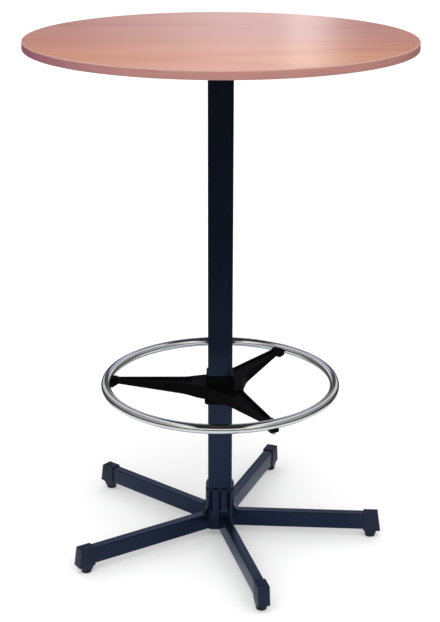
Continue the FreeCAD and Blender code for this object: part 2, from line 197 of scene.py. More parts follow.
def work_on(piece, kind="FACE", test=None):
    """Enters edit mode with the corners, edges or faces selected that pass a test, or with them all."""
    pick_up(piece)
    mesh = piece.data
    for group in (mesh.vertices, mesh.edges, mesh.polygons):
        group.foreach_set("select", [test is None] * len(group))
    if test is not None:
        points = mesh.vertices
        if kind == "VERT":
            for point in points:
                point.select = test(point.co)
        elif kind == "EDGE":
            for edge in mesh.edges:
                edge.select = test(points[edge.vertices[0]].co, points[edge.vertices[1]].co)
        else:
            for face in mesh.polygons:
                face.select = test(face.center, face.normal)
    bpy.context.tool_settings.mesh_select_mode = (kind == "VERT", kind == "EDGE", kind == "FACE")
    bpy.ops.object.mode_set(mode="EDIT")


def upright(start, end):
    """Whether an edge climbs."""
    return abs(start.z - end.z) > hair


def finish_modifier(piece, kind, **settings):
    """Adds a modifier with these settings and applies it."""
    pick_up(piece)
    modifier = piece.modifiers.new(kind.lower(), kind)
    for setting, value in settings.items():
        setattr(modifier, setting, value)
    bpy.ops.object.modifier_apply(modifier=modifier.name)


def combine(piece, other, operation):
    """Cuts another solid out of a piece, joins it on or keeps what both share; the other one stays."""
    finish_modifier(piece, "BOOLEAN", operation=operation, solver="EXACT", object=other)


def round_edges(piece, width, segments, degrees, **settings):
    """Rounds the edges that turn by more than this."""
    finish_modifier(piece, "BEVEL", width=width, segments=segments, limit_method="ANGLE",
                    angle_limit=math.radians(degrees), use_clamp_overlap=True, **settings)


def smooth(piece, degrees=sharp_turn):
    """Soft shading over gentle turns, crisp over sharp ones."""
    pick_up(piece)
    bpy.ops.object.shade_smooth_by_angle(angle=math.radians(degrees))


def face_outwards(piece):
    """Joins doubled points and turns every face outwards."""
    work_on(piece)
    bpy.ops.mesh.remove_doubles(threshold=same_point)
    bpy.ops.mesh.normals_make_consistent(inside=False)
    put_down()


def heading(degrees):
    """The level direction at this turn from +X."""
    return Vector((math.cos(math.radians(degrees)), math.sin(math.radians(degrees)), 0.0))


def turn(piece, degrees):
    """Turns a piece's mesh about the table's upright axis."""
    piece.data.transform(Matrix.Rotation(math.radians(degrees), 4, "Z"))


def turned_copy(piece, name, degrees):
    """A copy with its own mesh, turned about the table's upright axis."""
    copy = piece.copy()
    copy.data = piece.data.copy()
    copy.name = name
    copy.data.name = name
    bpy.context.collection.objects.link(copy)
    turn(copy, degrees)
    return copy


def worked_copy(node, name, rounding):
    """A copy of a machined part with its flat faces made whole and its edges rounded."""
    put_down()
    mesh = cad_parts[node].data.copy()
    mesh.name = name
    piece = bpy.data.objects.new(name, mesh)
    bpy.context.collection.objects.link(piece)
    work_on(piece)
    bpy.ops.mesh.remove_doubles(threshold=same_point)
    bpy.ops.mesh.dissolve_limited(angle_limit=math.radians(0.5))
    put_down()
    if rounding:
        round_edges(piece, rounding, 2, sharp_turn, miter_outer="MITER_ARC")
    smooth(piece)
    return piece


def dress(piece, material, body, slot, *nodes):
    """Gives a piece its finish, its body and the CAD nodes that it stands for. The slot is not used."""
    piece.data.materials.clear()
    piece.data.materials.append(material)
    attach(piece, body)
    if nodes:
        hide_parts(*nodes)


# ---- Finishes -----------------------------------------------------------------------------------

def surface(name):
    """A material, its node tree, its shader and the place on the object."""
    material = bpy.data.materials.new(name)
    material.use_nodes = True
    tree = material.node_tree
    shader = tree.nodes["Principled BSDF"]
    place = tree.nodes.new("ShaderNodeTexCoord").outputs["Object"]
    return material, tree, shader, place


def axes(tree, place):
    """The X, Y and Z of a place or a direction."""
    node = tree.nodes.new("ShaderNodeSeparateXYZ")
    tree.links.new(place, node.inputs["Vector"])
    return node.outputs


def worked_out(tree, operation, first, second):
    """A number made from two others, each of them fixed or taken from a node."""
    node = tree.nodes.new("ShaderNodeMath")
    node.operation = operation
    for socket, value in zip(node.inputs, (first, second)):
        if isinstance(value, float):
            socket.default_value = value
        else:
            tree.links.new(value, socket)
    return node.outputs["Value"]


def spread(tree, value, low, high, start=0.0, end=1.0):
    """A number that runs from start to end, brought to the range from low to high."""
    node = tree.nodes.new("ShaderNodeMapRange")
    node.inputs["From Min"].default_value = start
    node.inputs["From Max"].default_value = end
    node.inputs["To Min"].default_value = low
    node.inputs["To Max"].default_value = high
    tree.links.new(value, node.inputs["Value"])
    return node.outputs["Result"]


def mottle(tree, place, stretch, scale=1.0, detail=2.0, distortion=0.0, roughness=0.5):
    """Noise, stretched along the axes."""
    mapping = tree.nodes.new("ShaderNodeMapping")
    mapping.inputs["Scale"].default_value = stretch
    noise = tree.nodes.new("ShaderNodeTexNoise")
    noise.inputs["Scale"].default_value = scale
    noise.inputs["Detail"].default_value = detail
    noise.inputs["Roughness"].default_value = roughness
    noise.inputs["Distortion"].default_value = distortion
    tree.links.new(place, mapping.inputs["Vector"])
    tree.links.new(mapping.outputs["Vector"], noise.inputs["Vector"])
    return noise.outputs["Fac"]


def steps(tree, factor, *stops):
    """A colour ramp with the given places and colours; a number stands for a grey."""
    node = tree.nodes.new("ShaderNodeValToRGB")
    ramp = node.color_ramp
    while len(ramp.elements) < len(stops):
        ramp.elements.new(0.5)
    for element, (position, colour) in zip(ramp.elements, stops):
        element.position = position
        element.color = (*colour, 1.0) if isinstance(colour, tuple) else (colour, colour, colour, 1.0)
    tree.links.new(factor, node.inputs["Fac"])
    return node.outputs["Color"]


def mixed(tree, factor, first, second, way="MIX"):
    """Two colours mixed by a number or by a pattern."""
    node = tree.nodes.new("ShaderNodeMix")
    node.data_type = "RGBA"
    node.blend_type = way
    if isinstance(factor, float):
        node.inputs["Factor"].default_value = factor
    else:
        tree.links.new(factor, node.inputs["Factor"])
    tree.links.new(first, node.inputs["A"])
    tree.links.new(second, node.inputs["B"])
    return node.outputs["Result"]


def times(tree, colour, *others):
    """Colours multiplied together."""
    for other in others:
        colour = mixed(tree, 1.0, colour, other, "MULTIPLY")
    return colour


def relief(tree, shader, height, strength, distance, edge=0.0):
    """Fine relief from a pattern, over edges softened to this radius."""
    node = tree.nodes.new("ShaderNodeBump")
    node.inputs["Strength"].default_value = strength
    node.inputs["Distance"].default_value = distance
    tree.links.new(height, node.inputs["Height"])
    if edge:
        soft = tree.nodes.new("ShaderNodeBevel")
        soft.samples = 6
        soft.inputs["Radius"].default_value = edge
        tree.links.new(soft.outputs["Normal"], node.inputs["Normal"])
    tree.links.new(node.outputs["Normal"], shader.inputs["Normal"])


def finish(tree, shader, colour, roughness):
    """Gives a shader its colour and its roughness, each from a pattern."""
    tree.links.new(colour, shader.inputs["Base Color"])
    tree.links.new(roughness, shader.inputs["Roughness"])


def wood_laminate():
    """Satin beech-pattern laminate, its grain along X: pinker behind and more golden in front,
    in broad bands with fine streaks and short flecks."""
    material, tree, shader, place = surface("beech_laminate")
    bands = mottle(tree, place, (0.55, 4.6, 1.0), detail=3.0, distortion=0.6)
    streaks = mottle(tree, place, (2.2, 150.0, 1.0), detail=4.0, distortion=0.2, roughness=0.6)
    flecks = mottle(tree, place, (90.0, 1300.0, 1.0), detail=1.0)
    pink = steps(tree, bands, (0.30, (0.555, 0.266, 0.248)), (0.50, (0.652, 0.322, 0.289)),
                 (0.72, (0.698, 0.359, 0.316)))
    golden = steps(tree, bands, (0.30, (0.661, 0.306, 0.225)), (0.44, (0.754, 0.358, 0.249)),
                   (0.53, (0.681, 0.295, 0.202)), (0.59, (0.765, 0.369, 0.241)),
                   (0.74, (0.804, 0.409, 0.280)))
    wandering = worked_out(tree, "ADD", axes(tree, place)["Y"], spread(tree, bands, -0.15, 0.15))
    forward = spread(tree, wandering, 0.0, 1.0, start=0.08, end=-0.20)
    broad = mixed(tree, forward, pink, golden)
    fine = steps(tree, streaks, (0.30, 0.93), (0.65, 1.03))
    flecked = steps(tree, flecks, (0.27, 0.80), (0.36, 1.0))
    wood = mixed(tree, 0.6, times(tree, broad, fine), flecked, "MULTIPLY")
    finish(tree, shader, wood, spread(tree, streaks, 0.17, 0.23))
    shader.inputs["Specular IOR Level"].default_value = 0.38
    relief(tree, shader, streaks, strength=0.05, distance=0.0002)
    return material


def edging_plastic():
    """Plastic edging with printed streaks round the rim, dusty rose, and towards the left a darker purplish
    tone of painted shade; its upper arris lighter, partly bared by scraping, partly a painted highlight."""
    material, tree, shader, place = surface("rose_edging")
    across = axes(tree, place)
    behind = worked_out(tree, "MULTIPLY", across["Y"], -1.0)
    bearing = worked_out(tree, "ARCTAN2", across["X"], behind)
    along = tree.nodes.new("ShaderNodeCombineXYZ")
    tree.links.new(bearing, along.inputs["X"])
    tree.links.new(across["Z"], along.inputs["Y"])
    streaks = mottle(tree, along.outputs["Vector"], (4.0, 520.0, 1.0), detail=3.0, distortion=0.2,
                     roughness=0.6)
    rose = steps(tree, streaks, (0.30, (0.380, 0.167, 0.144)), (0.68, (0.467, 0.228, 0.199)))
    # Painted shade: a darker, purplish tone mixed in towards the left side of the rim.
    purplish_painted_shade = steps(tree, streaks, (0.30, (0.304, 0.103, 0.141)), (0.68, (0.380, 0.144, 0.194)))
    round_rim = spread(tree, bearing, 0.0, 1.0, start=-math.pi, end=math.pi)
    painted_shade_at_left = steps(tree, round_rim, (0.04, 0.0), (0.19, 1.0), (0.333, 1.0), (0.428, 0.0))
    # Painted highlight along the upper arris, which is also partly plastic bared by scraping.
    scraped_and_painted_highlight = tree.nodes.new("ShaderNodeRGB").outputs["Color"]
    scraped_and_painted_highlight.default_value = (0.560, 0.325, 0.285, 1.0)
    height = spread(tree, across["Z"], 0.0, 1.0, start=scraped_highlight_start, end=scraped_highlight_full)
    colour = mixed(tree, height, mixed(tree, painted_shade_at_left, rose, purplish_painted_shade), scraped_and_painted_highlight)
    finish(tree, shader, colour, spread(tree, streaks, 0.34, 0.46))
    relief(tree, shader, streaks, strength=0.04, distance=0.0002)
    return material


def powder_coat(name, dark, light, shine, tint, smoothest=0.22, roughest=0.30):
    """Powder-coated steel with a fine orange peel."""
    material, tree, shader, place = surface(name)
    clouds = mottle(tree, place, (1.0, 1.0, 0.35), scale=9.0, detail=3.0)
    peel = mottle(tree, place, (1.0, 1.0, 1.0), scale=900.0)
    colour = steps(tree, clouds, (0.30, dark), (0.70, light))
    finish(tree, shader, colour, spread(tree, clouds, smoothest, roughest))
    shader.inputs["Specular IOR Level"].default_value = shine
    shader.inputs["Specular Tint"].default_value = (*tint, 1.0)
    relief(tree, shader, peel, strength=0.10, distance=0.0002)
    return material


def moulded_plastic(name, dark, light, rough, shine, grain=1500.0, edge=0.0):
    """Moulded plastic with a fine even texture."""
    material, tree, shader, place = surface(name)
    clouds = mottle(tree, place, (1.0, 1.0, 1.0), scale=30.0)
    texture = mottle(tree, place, (1.0, 1.0, 1.0), scale=grain, detail=1.0)
    colour = steps(tree, clouds, (0.30, dark), (0.70, light))
    finish(tree, shader, colour, spread(tree, clouds, rough - 0.05, rough + 0.07))
    shader.inputs["Specular IOR Level"].default_value = shine
    relief(tree, shader, texture, strength=0.25, distance=0.00015, edge=edge)
    return material


def bright_chrome():
    """Bright chrome plate with faint wipe marks."""
    material, tree, shader, place = surface("bright_chrome")
    wipes = mottle(tree, place, (1.0, 1.0, 2.5), scale=22.0, detail=3.0, distortion=0.4)
    colour = steps(tree, wipes, (0.30, (0.70, 0.71, 0.72)), (0.70, (0.78, 0.78, 0.79)))
    finish(tree, shader, colour, spread(tree, wipes, 0.035, 0.085))
    shader.inputs["Metallic"].default_value = 1.0
    return material


def plated_steel(name, dark, light, rough):
    """Plated or blackened steel with a fine brushed mottle."""
    material, tree, shader, place = surface(name)
    brushed = mottle(tree, place, (1.0, 1.0, 6.0), scale=300.0, detail=3.0)
    colour = steps(tree, brushed, (0.30, dark), (0.70, light))
    finish(tree, shader, colour, spread(tree, brushed, rough - 0.06, rough + 0.08))
    shader.inputs["Metallic"].default_value = 1.0
    relief(tree, shader, brushed, strength=0.05, distance=0.0001)
    return material


def backing_face():
    """The dark brown kraft backing on the board's underside, with a fine paper grain."""
    material, tree, shader, place = surface("backing_face")
    paper = mottle(tree, place, (1.0, 1.0, 1.0), scale=260.0, detail=4.0)
    clouds = mottle(tree, place, (1.0, 1.0, 1.0), scale=6.0, detail=3.0)
    base = steps(tree, clouds, (0.30, (0.046, 0.036, 0.029)), (0.70, (0.066, 0.052, 0.042)))
    fibres = steps(tree, paper, (0.30, 0.93), (0.70, 1.0))
    tree.links.new(times(tree, base, fibres), shader.inputs["Base Color"])
    shader.inputs["Roughness"].default_value = 0.62
    relief(tree, shader, paper, strength=0.1, distance=0.0001)
    return material


blue_tint = (0.38, 0.56, 1.0)
no_tint = (1.0, 1.0, 1.0)

laminate = wood_laminate()
edging = edging_plastic()
frame_coat = powder_coat("dark_blue_powder_coat", (0.0020, 0.0036, 0.0075), (0.0030, 0.0052, 0.0105),
                         shine=0.58, tint=blue_tint)
# Painted shade: the flutes' coat is darker in colour, and also rougher and less shiny.
painted_shade_recess_coat = powder_coat("recess_powder_coat_painted_shade", (0.0012, 0.0020, 0.0040), (0.0020, 0.0030, 0.0058),
                          shine=0.14, tint=blue_tint, smoothest=0.42, roughest=0.55)
plate_coat = powder_coat("black_powder_coat", (0.010, 0.011, 0.013), (0.016, 0.017, 0.020),
                         shine=0.25, tint=no_tint)
cap_nylon = moulded_plastic("dark_blue_nylon", (0.0038, 0.0085, 0.0250), (0.0055, 0.0115, 0.0330),
                            rough=0.40, shine=0.24)
pad_nylon = moulded_plastic("foot_nylon", (0.0045, 0.0060, 0.0125), (0.0065, 0.0085, 0.0165),
                            rough=0.45, shine=0.25)
spider_nylon = moulded_plastic("black_filled_nylon", (0.0008, 0.0008, 0.0010), (0.0016, 0.0016, 0.0018),
                               rough=0.55, shine=0.05, grain=900.0, edge=0.0012)
chrome = bright_chrome()
zinc = plated_steel("zinc_plated_steel", (0.50, 0.50, 0.49), (0.62, 0.62, 0.60), rough=0.30)
black_oxide = plated_steel("black_oxide_steel", (0.045, 0.045, 0.050), (0.070, 0.070, 0.075), rough=0.38)
tip_nylon = moulded_plastic("natural_nylon", (0.62, 0.60, 0.52), (0.70, 0.68, 0.60), rough=0.45, shine=0.4)
backing = backing_face()


# ---- Table top ----------------------------------------------------------------------------------

def make_edging():
    """The band round the rim: a strip's section with rounded arrises, spun once round to a butt seam."""
    put_down()
    middle = (top_radius - edging_depth / 2, 0.0, (top_height + edging_low) / 2)
    bpy.ops.mesh.primitive_plane_add(size=1.0, location=middle, rotation=(math.pi / 2, 0.0, 0.0))
    piece = named("top_edging")
    piece.scale = (edging_depth, top_height - edging_low, 1.0)
    settle(piece)
    work_on(piece, "VERT", lambda place: place.x > middle[0])
    bpy.ops.mesh.bevel(offset=edging_arris, segments=5, affect="VERTICES")
    bpy.ops.mesh.select_all(action="SELECT")
    bpy.ops.mesh.spin(steps=288, angle=whole_turn - edging_seam / top_radius, center=(0.0, 0.0, 0.0),
                      axis=(0.0, 0.0, 1.0))
    put_down()
    turn(piece, edging_seam_turn)
    face_outwards(piece)
    smooth(piece)
    dress(piece, edging, "table", "edge_plastic", "edge_band")


make_edging()


# ---- Column and hub -----------------------------------------------------------------------------

def make_column():
    """Square tube, its long corners rounded, open at both ends."""
    piece = block("column_tube", (column_low + column_high) / 2, column_high - column_low)
    work_on(piece, "FACE", lambda place, normal: abs(normal.z) > flat_across)
    bpy.ops.mesh.delete(type="FACE")
    work_on(piece, "EDGE", upright)
    bpy.ops.mesh.bevel(offset=column_corner, segments=8, affect="EDGES")
    put_down()
    finish_modifier(piece, "SOLIDIFY", thickness=column_wall, offset=-1.0, use_even_offset=True)
    smooth(piece)
    dress(piece, frame_coat, "table", "frame_paint", "column")


def square_bar(name, half, low, high, corner, segments):
    """An upright square bar round the table's axis, its four corners rounded."""
    piece = block(name, (0.0, 0.0, (low + high) / 2), (2 * half, 2 * half, high - low))
    work_on(piece, "EDGE", upright)
    bpy.ops.mesh.bevel(offset=corner, segments=segments, affect="EDGES")
    put_down()
    return piece


def make_flute_cutter():
    """What a flute in the +X face takes away: it runs out in a slope below and leans in at the rim."""
    cutter = block("flute_cutter", (flute_floor + flute_cut / 2, 0.0, (flute_low + flute_head) / 2),
                   (flute_cut, 2 * flute_half, flute_head - flute_low))
    inner = flute_floor + flute_cut / 4
    work_on(cutter)
    bpy.ops.mesh.bisect(plane_co=(0.0, 0.0, sleeve_shoulder), plane_no=(0.0, 0.0, 1.0))
    work_on(cutter, "VERT", lambda place: place.x < inner and place.z > flute_head - hair)
    bpy.ops.transform.translate(value=(-flute_lean, 0.0, 0.0))
    work_on(cutter, "VERT", lambda place: place.x < inner and place.z < flute_low + hair)
    bpy.ops.transform.translate(value=(0.0, 0.0, flute_run_out))
    put_down()
    return cutter


def make_flute_cutters():
    """Three flutes side by side on each of the sleeve's four faces."""
    first = make_flute_cutter()
    cutters = []
    for face in range(4):
        for place in (-1, 0, 1):
            cutter = turned_copy(first, f"flute_cutter_{face}_{place + 1}", 0.0)
            cutter.data.transform(Matrix.Rotation(math.radians(90.0 * face), 4, "Z")
                                  @ Matrix.Translation((0.0, place * flute_pitch, 0.0)))
            cutters.append(cutter)
    bpy.data.objects.remove(first)
    return cutters


def in_flute(place):
    """Whether a place lies in one of the flutes, behind the sleeve's faces."""
    out, across = sorted((abs(place.x), abs(place.y)), reverse=True)
    beside = min(across, abs(across - flute_pitch))
    return (flute_floor - 3 * hair < out < sleeve_half - 4 * hair and beside < flute_half + 2 * hair
            and place.z > flute_low)


def make_sleeve(flute_cutters):
    """Square sleeve with round corners, its rim sloping in, three open-headed flutes in each face."""
    piece = square_bar("fluted_sleeve", sleeve_half, sleeve_low, sleeve_shoulder, sleeve_corner, 12)
    work_on(piece, "FACE", lambda place, normal: normal.z > flat_across)
    bpy.ops.mesh.inset(thickness=rim_inset, depth=rim_height)
    put_down()
    for cutter in flute_cutters:
        combine(piece, cutter, "DIFFERENCE")
    bore_cutter = square_bar("bore_cutter", bore_half, sleeve_low - past, sleeve_shoulder + past,
                             bore_corner, 6)
    combine(piece, bore_cutter, "DIFFERENCE")
    bpy.data.objects.remove(bore_cutter)
    round_edges(piece, sleeve_edge, 3, 20.0)
    smooth(piece)
    dress(piece, frame_coat, "table", "frame_paint", "hub_sleeve")
    # The flute faces take the darker coat, painted shade in the recesses.
    piece.data.materials.append(painted_shade_recess_coat)
    for face in piece.data.polygons:
        face.material_index = 1 if in_flute(face.center) else 0


make_column()
flutes = make_flute_cutters()
make_sleeve(flutes)


def in_sleeve(place):
    """Whether a place lies within the sleeve's round-cornered outline."""
    flat = sleeve_half - sleeve_corner
    return math.hypot(max(abs(place.x) - flat, 0.0), max(abs(place.y) - flat, 0.0)) < sleeve_corner


def way_out(start, along):
    """How far a line that starts inside the sleeve runs before it leaves it."""
    inner, outer = 0.0, 2 * sleeve_half
    while outer - inner > hair / 10:
        middle = (inner + outer) / 2
        if in_sleeve(start + along * middle):
            inner = middle
        else:
            outer = middle
    return outer


def make_weld(name, degrees, side):
    """A rippled weld run up the corner between an arm's side and the sleeve."""
    along = heading(degrees)
    start = Vector((-along.y, along.x, 0.0)) * side * arm_width / 2
    corner = start + along * way_out(start, along)
    length = arm_high - arm_low - 2 * weld_margin
    put_down()
    bpy.ops.mesh.primitive_cylinder_add(vertices=16, radius=weld_radius, depth=length,
                                        location=(corner.x, corner.y, (arm_high + arm_low) / 2))
    piece = named(name)
    settle(piece)
    work_on(piece, "EDGE", upright)
    bpy.ops.mesh.subdivide(number_cuts=2 * weld_ripples - 1)
    put_down()
    pitch = length / (2 * weld_ripples)
    for ring in range(0, 2 * weld_ripples + 1, 2):
        level = arm_low + weld_margin + ring * pitch
        work_on(piece, "VERT", lambda place: abs(place.z - level) < pitch / 4)
        bpy.ops.transform.resize(value=(weld_waist, weld_waist, 1.0))
        put_down()
    smooth(piece, 60.0)
    return piece


# ---- Base arms, caps and glides -----------------------------------------------------------------

def make_tube():
    """Open rectangular tube along +X, its long corners rounded, slotted below for the glide."""
    piece = block("arm_tube", ((arm_start + arm_end) / 2, 0.0, (arm_low + arm_high) / 2),
                  (arm_end - arm_start, arm_width, arm_high - arm_low))
    work_on(piece, "FACE", lambda place, normal: abs(normal.x) > flat_across)
    bpy.ops.mesh.delete(type="FACE")
    work_on(piece, "EDGE", lambda start, end: abs(start.x - end.x) > arm_start)
    bpy.ops.mesh.bevel(offset=arm_corner, segments=5, affect="EDGES")
    put_down()
    finish_modifier(piece, "SOLIDIFY", thickness=arm_wall, offset=-1.0, use_even_offset=True)
    slot_cutter = block("slot_cutter", (glide_reach + slot_forward, 0.0, arm_low),
                        (slot_length, slot_width, slot_depth))
    combine(piece, slot_cutter, "DIFFERENCE")
    bpy.data.objects.remove(slot_cutter)
    return piece


def make_skirt():
    """The sweep from the sleeve's faces out to the arms' tops, made all round: the roots are cut from it."""
    low = arm_high - arm_wall / 2
    piece = square_bar("root_skirt", sleeve_half + root_length, low, arm_high,
                       sleeve_corner + root_length, 16)
    work_on(piece, "FACE", lambda place, normal: normal.z > flat_across)
    radius = (root_length ** 2 + root_height ** 2) / (2 * root_length)
    opening = math.asin(root_height / radius)
    out, up = root_length, 0.0
    for step in range(1, root_steps + 1):
        angle = opening * (1 - step / root_steps)
        next_out = radius * (1 - math.cos(angle))
        next_up = root_height - radius * math.sin(angle)
        bpy.ops.mesh.inset(thickness=out - next_out, depth=next_up - up)
        out, up = next_out, next_up
    put_down()
    return piece


def make_root(skirt, degrees):
    """The slice of the skirt that stands on one arm."""
    piece = turned_copy(skirt, "arm_root", 0.0)
    slice_cutter = block("slice_cutter",
                         ((arm_start + root_slice_end) / 2, 0.0, arm_high + root_height / 2),
                         (root_slice_end - arm_start, arm_width - 2 * arm_corner, root_height + past))
    turn(slice_cutter, degrees)
    combine(piece, slice_cutter, "INTERSECT")
    bpy.data.objects.remove(slice_cutter)
    return piece


def meets_arm(cutter, along):
    """Whether a flute lies on an arm's side of the sleeve, near enough to cut into the arm."""
    points = cutter.data.vertices
    middle = sum((point.co for point in points), Vector()) / len(points)
    aside = (middle.xy - along.xy * middle.xy.dot(along.xy)).length
    return aside < arm_width / 2 + flute_cut and middle.dot(along) > 0.0


def make_arm(number, degrees, tube, skirt, coping_cutter, flute_cutters):
    """One arm with its root, coped to the sleeve and opened where the flutes run."""
    piece = turned_copy(tube, f"arm_tube_{number}", degrees)
    root = make_root(skirt, degrees)
    combine(piece, root, "UNION")
    bpy.data.objects.remove(root)
    combine(piece, coping_cutter, "DIFFERENCE")
    for cutter in flute_cutters:
        if meets_arm(cutter, heading(degrees)):
            combine(piece, cutter, "DIFFERENCE")
    smooth(piece)
    dress(piece, frame_coat, "table", "frame_paint", f"base_arm_{number}")


def make_cap():
    """Moulded end cap along +X: a leaning end face, a foot that flares into it, a pocket for the tube."""
    piece = block("end_cap", ((cap_start + cap_end) / 2, 0.0, (cap_low + cap_high) / 2),
                  (cap_end - cap_start, 2 * cap_half, cap_high - cap_low))
    work_on(piece, "VERT", lambda place: place.x > cap_end - hair and place.z < cap_low + hair)
    bpy.ops.transform.translate(value=(cap_lean, 0.0, 0.0))
    for cut in (glide_reach - foot_half_length - foot_flare, glide_reach + foot_half_length + foot_flare):
        work_on(piece)
        bpy.ops.mesh.bisect(plane_co=(cut, 0.0, 0.0), plane_no=(1.0, 0.0, 0.0))
        put_down()
    work_on(piece, "FACE", lambda place, normal: (normal.z < -flat_across
                                                  and abs(place.x - glide_reach) < foot_half_length))
    shank = cap_low - foot_low - foot_shoulder
    for drop, draft in ((foot_shoulder, shoulder_draft), (shank, shank_draft)):
        bpy.ops.mesh.extrude_region_move(TRANSFORM_OT_translate={"value": (0.0, 0.0, -drop)})
        bpy.ops.transform.resize(value=(draft, foot_side_draft, 1.0))
    work_on(piece, "EDGE", lambda start, end: max(start.z, end.z) < cap_low - hair and upright(start, end))
    bpy.ops.mesh.bevel(offset=foot_corner, segments=5, affect="EDGES")
    put_down()
    work_on(piece, "FACE", lambda place, normal: normal.x < -flat_across and place.x < cap_start + hair)
    bpy.ops.mesh.inset(thickness=cap_wall - hair, depth=0.0)
    pocket = cap_end - cap_start - cap_end_wall
    bpy.ops.mesh.extrude_region_move(TRANSFORM_OT_translate={"value": (pocket, 0.0, 0.0)})
    put_down()
    round_edges(piece, cap_edge, 5, 28.0)
    smooth(piece, 40.0)
    return piece


def make_pad():
    """Foot along +X: grip flats with softened corners, a rounded sole and a socket for the stud."""
    put_down()
    bpy.ops.mesh.primitive_cylinder_add(vertices=pad_flats, radius=pad_radius, depth=pad_height,
                                        location=(0.0, 0.0, pad_height / 2),
                                        rotation=(0.0, 0.0, math.pi / 2))
    piece = named("foot_pad")
    settle(piece)
    top = pad_height - hair
    work_on(piece, "EDGE", upright)
    bpy.ops.mesh.bevel(offset=pad_corner, segments=3, affect="EDGES")
    work_on(piece, "EDGE", lambda start, end: max(start.z, end.z) < hair)
    bpy.ops.mesh.bevel(offset=pad_sole, segments=5, affect="EDGES")
    work_on(piece, "EDGE", lambda start, end: min(start.z, end.z) > top)
    bpy.ops.mesh.bevel(offset=pad_rim, segments=3, affect="EDGES")
    work_on(piece, "FACE", lambda place, normal: normal.z > flat_across and place.z > top)
    bpy.ops.mesh.inset(thickness=pad_shelf)
    bpy.ops.mesh.extrude_region_move(TRANSFORM_OT_translate={"value": (0.0, 0.0, stud_low - pad_height)})
    put_down()
    piece.data.transform(Matrix.Translation((glide_reach, 0.0, 0.0)))
    smooth(piece)
    return piece


def make_stud():
    """Threaded stud along +X, its helix cut square at both ends."""
    put_down()
    middle = stud_low - stud_pitch / 2
    bpy.ops.mesh.primitive_plane_add(size=stud_pitch, location=(stud_root, 0.0, middle),
                                     rotation=(math.pi / 2, 0.0, 0.0))
    piece = named("levelling_stud")
    settle(piece)
    work_on(piece, "VERT", lambda place: place.x < stud_root)
    bpy.ops.mesh.delete(type="VERT")
    work_on(piece)
    bpy.ops.mesh.subdivide(number_cuts=7)
    bpy.ops.transform.translate(value=(-stud_pitch / 2, 0.0, 0.0))
    put_down()
    work_on(piece, "VERT", lambda place: abs(place.z - middle) < stud_pitch * stud_crest)
    bpy.ops.transform.translate(value=(stud_radius - stud_root, 0.0, 0.0))
    put_down()
    turns = math.ceil((stud_high - stud_low) / stud_pitch) + 2
    finish_modifier(piece, "SCREW", axis="Z", angle=whole_turn, screw_offset=stud_pitch, steps=24,
                    render_steps=24, iterations=turns, use_merge_vertices=True,
                    merge_threshold=same_point)
    for level, keep_above in ((stud_low, True), (stud_high, False)):
        work_on(piece)
        bpy.ops.mesh.bisect(plane_co=(0.0, 0.0, level), plane_no=(0.0, 0.0, 1.0), use_fill=True,
                            clear_inner=keep_above, clear_outer=not keep_above)
        put_down()
    face_outwards(piece)
    piece.data.transform(Matrix.Translation((glide_reach, 0.0, 0.0)))
    smooth(piece, 25.0)
    return piece


def make_base(flute_cutters):
    """Five arms round the sleeve, each with its weld runs, cap and glide."""
    tube = make_tube()
    skirt = make_skirt()
    coping_cutter = square_bar("coping_cutter", sleeve_half, -past, sleeve_shoulder + past,
                               sleeve_corner, 12)
    cap = make_cap()
    pad = make_pad()
    stud = make_stud()
    for number in range(1, arm_count + 1):
        degrees = first_arm + (number - 1) * 360.0 / arm_count
        make_arm(number, degrees, tube, skirt, coping_cutter, flute_cutters)
        for side, hand in ((1, "left"), (-1, "right")):
            weld = make_weld(f"root_weld_{number}_{hand}", degrees, side)
            dress(weld, frame_coat, "table", "frame_paint")
        for source, name, material, body, slot, node in (
                (cap, "end_cap", cap_nylon, "table", "cap_plastic", "arm_cap"),
                (pad, "foot_pad", pad_nylon, f"glide_{number}", "pad_plastic", "glide_pad"),
                (stud, "levelling_stud", zinc, f"glide_stud_{number}", "zinc_steel", "glide_stud")):
            copy = turned_copy(source, f"{name}_{number}", degrees)
            dress(copy, material, body, slot, f"{node}_{number}")
    for source in (tube, skirt, coping_cutter, cap, pad, stud, *flute_cutters):
        bpy.data.objects.remove(source)


make_base(flutes)


# ---- Foot ring ----------------------------------------------------------------------------------

def make_foot_ring():
    """Round tube bent to a closed ring, with the dressed-down butt weld that closes it."""
    put_down()
    bpy.ops.mesh.primitive_circle_add(vertices=40, radius=ring_bar, location=(ring_middle, 0.0, ring_level),
                                      rotation=(math.pi / 2, 0.0, 0.0))
    piece = named("foot_ring_tube")
    settle(piece)
    work_on(piece)
    bpy.ops.mesh.spin(steps=240, angle=whole_turn, center=(0.0, 0.0, 0.0), axis=(0.0, 0.0, 1.0))
    face_outwards(piece)
    work_on(piece, "VERT", lambda place: place.x > 0.0 and abs(place.y) < hair)
    bpy.ops.transform.shrink_fatten(value=ring_weld_bead)
    put_down()
    turn(piece, ring_weld_turn)
    smooth(piece, 60.0)
    dress(piece, chrome, "foot_ring_carriage", "ring_chrome", "foot_ring")


make_foot_ring()


# ---- Spider and small steel parts ---------------------------------------------------------------

for node, name, rounding, material, body, slot in (
        ("ring_spider", "spider_moulding", 0.0, spider_nylon, "foot_ring_carriage", "spider_plastic"),
        ("ring_screws", "ring_screw_set", 0.0004, zinc, "foot_ring_carriage", "zinc_steel"),
        ("tie_rod_nuts", "tie_rod_nut_pair", 0.0006, zinc, "table", "zinc_steel"),
        ("top_plate_screws", "wood_screw_set", 0.0004, zinc, "table", "zinc_steel"),
        ("top_plate", "under_top_plate", 0.0006, plate_coat, "table", "plate_paint"),
        ("hub_plate", "hub_foot_plate", 0.0008, frame_coat, "table", "frame_paint")):
    dress(worked_copy(node, name, rounding), material, body, slot, node)

